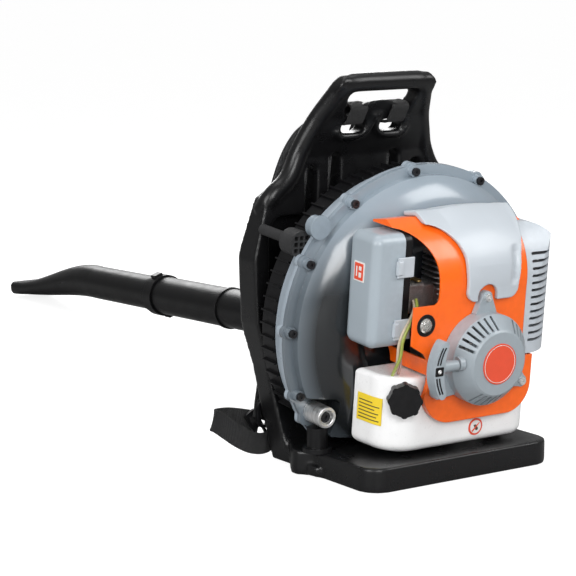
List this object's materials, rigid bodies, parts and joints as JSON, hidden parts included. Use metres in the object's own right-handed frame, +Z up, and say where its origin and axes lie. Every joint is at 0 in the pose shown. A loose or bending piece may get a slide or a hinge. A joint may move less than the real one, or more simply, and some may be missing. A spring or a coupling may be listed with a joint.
{
  "type": "backpack leaf blower",
  "caption": "Petrol backpack blower: moulded back frame, fan housing, engine with covers, tank, harness and swivelling blower tube.",
  "frame": {"origin": "centre of the back frame, on the floor that its base plate rests on", "axes": "+Z up, +Y forward along the blower tube, +X to the right of someone wearing it"},
  "size_m": [0.4558, 1.6048, 0.5092],
  "materials": {
    "black_plastic": "satin black moulded plastic",
    "light_housing": "light blue-grey gloss plastic",
    "light_guard": "light grey satin plastic",
    "grey_plastic": "mid grey satin plastic",
    "orange_plastic": "orange gloss plastic",
    "red_label": "red-orange printed disc",
    "steel": "bright turned steel",
    "dark_steel": "black oxide steel",
    "cast_alloy": "cast aluminium",
    "tank_plastic": "translucent white tank plastic",
    "fuel_hose": "translucent tan fuel hose",
    "clear_rubber": "clear primer bulb",
    "black_rubber": "black rubber",
    "pipe_plastic": "black smooth pipe plastic",
    "webbing": "black woven webbing",
    "pad_fabric": "black padded mesh fabric",
    "filter_felt": "filter felt",
    "rope": "braided starter cord",
    "ceramic": "white ceramic and steel"
  },
  "bodies": {
    "machine": {"air_base": "black_plastic", "air_filter": "filter_felt", "back_frame": "black_plastic", "back_pad": "pad_fabric", "carburettor": "cast_alloy", "crank_bearings": "steel", "crankcase_front": "cast_alloy", "crankcase_rear": "cast_alloy", "cylinder": "cast_alloy", "engine_cover": "orange_plastic", "engine_screws": "dark_steel", "fan_housing_front": "light_housing", "fan_housing_rear": "light_housing", "fuel_hoses": "fuel_hose", "fuel_tank": "tank_plastic", "harness_straps": "webbing", "hose_clamp_rear": "steel", "housing_screws": "dark_steel", "ignition_coil": "dark_steel", "intake_guard": "light_guard", "mount_screws": "dark_steel", "muffler": "steel", "muffler_guard": "light_guard", "outlet_elbow": "black_plastic", "plug_cap": "black_rubber", "primer_base": "black_plastic", "rear_mount": "black_rubber", "recoil_spring": "steel", "spark_plug": "ceramic", "starter_badge": "red_label", "starter_housing": "grey_plastic", "strap_buckles": "black_plastic", "support_posts": "grey_plastic", "top_cap": "light_guard", "vibration_sleeves": "steel"},
    "crank": {"crankshaft": "steel", "flywheel": "cast_alloy", "impeller": "black_plastic", "starter_cup": "steel"},
    "piston": {"piston": "cast_alloy", "piston_pin": "steel", "connecting_rod": "cast_alloy"},
    "reel": {"starter_reel": "grey_plastic"},
    "pull": {"starter_handle": "grey_plastic", "starter_rope": "rope"},
    "throttle": {"throttle_plate": "steel"},
    "choke": {"choke_plate": "black_rubber"},
    "primer": {"primer_bulb": "clear_rubber"},
    "tank_cap": {"fuel_cap": "black_plastic"},
    "air_door": {"air_cover": "grey_plastic", "air_clips": "black_plastic"},
    "hose": {"bellows_hose": "black_rubber"},
    "tube": {"hose_clamp_front": "steel", "control_pipe": "pipe_plastic", "throttle_grip": "black_plastic"},
    "trigger": {"throttle_trigger": "black_plastic"},
    "cruise": {"cruise_lever": "black_plastic"},
    "switch": {"stop_switch": "black_plastic"},
    "front_tube": {"front_pipe": "pipe_plastic"},
    "nozzle": {"nozzle_pipe": "pipe_plastic"}
  },
  "joints": [
    {"name": "crank_spin", "type": "hinge", "parent": "machine", "child": "crank", "pos_m": [0.024, -0.10181, 0.16314], "axis": [0, 0.9956, 0.0941], "continuous": true},
    {"name": "piston_slide", "type": "slide", "parent": "machine", "child": "piston", "axis": [0, -0.0941, 0.9956], "range_m": [-0.036, 0]},
    {"name": "starter_pull", "type": "slide", "parent": "machine", "child": "pull", "axis": [-1, 0, 0], "range_m": [0, 0.7]},
    {"name": "reel_spin", "type": "hinge", "parent": "machine", "child": "reel", "pos_m": [0.024, -0.18543, 0.15524], "axis": [0, -0.9956, -0.0941], "range_deg": [0, 1340]},
    {"name": "throttle_turn", "type": "hinge", "parent": "machine", "child": "throttle", "pos_m": [-0.046, -0.10858, 0.23482], "axis": [0, -0.0941, 0.9956], "range_deg": [0, 75]},
    {"name": "choke_turn", "type": "hinge", "parent": "machine", "child": "choke", "pos_m": [-0.058, -0.10858, 0.23482], "axis": [0, -0.0941, 0.9956], "range_deg": [0, 60]},
    {"name": "primer_press", "type": "slide", "parent": "machine", "child": "primer", "axis": [0, 0.9956, 0.0941], "range_m": [0, 0.003]},
    {"name": "cap_turn", "type": "hinge", "parent": "machine", "child": "tank_cap", "pos_m": [-0.08, -0.14308, 0.11103], "axis": [-0.5, -0.8622, -0.0815], "range_deg": [0, 720]},
    {"name": "air_door_slide", "type": "slide", "parent": "machine", "child": "air_door", "axis": [-1, 0, 0], "range_m": [0, 0.12]},
    {"name": "hose_pan", "type": "hinge", "parent": "machine", "child": "hose", "pos_m": [0.197, 0.11017, 0.09918], "axis": [0, 0, 1], "range_deg": [-35, 5], "deforming": ["bellows_hose"]},
    {"name": "hose_tilt", "type": "hinge", "parent": "hose", "child": "tube", "pos_m": [0.197, 0.2021, 0.09565], "axis": [1, 0, 0], "range_deg": [-20, 30]},
    {"name": "trigger_squeeze", "type": "hinge", "parent": "tube", "child": "trigger", "pos_m": [0.197, 0.33011, 0.22383], "axis": [-1, 0, 0], "range_deg": [0, 13]},
    {"name": "cruise_turn", "type": "hinge", "parent": "tube", "child": "cruise", "pos_m": [0.197, 0.31201, 0.22153], "axis": [-1, 0, 0], "range_deg": [0, 60]},
    {"name": "switch_slide", "type": "slide", "parent": "tube", "child": "switch", "axis": [0, 0.9993, -0.0384], "range_m": [0, 0.007]},
    {"name": "pipe_twist", "type": "hinge", "parent": "tube", "child": "front_tube", "pos_m": [0.197, 0.42993, 0.0869], "axis": [0, 0.9993, -0.0384], "range_deg": [0, 20]},
    {"name": "nozzle_twist", "type": "hinge", "parent": "front_tube", "child": "nozzle", "pos_m": [0.197, 0.89958, 0.06886], "axis": [0, 0.9993, -0.0384], "range_deg": [0, 20]}
  ],
  "couplings": [
    {"joint": "reel_spin", "follows": "starter_pull", "rad_per_m": 33.333},
    {"joint": "throttle_turn", "follows": "trigger_squeeze", "ratio": 5.769}
  ]
}
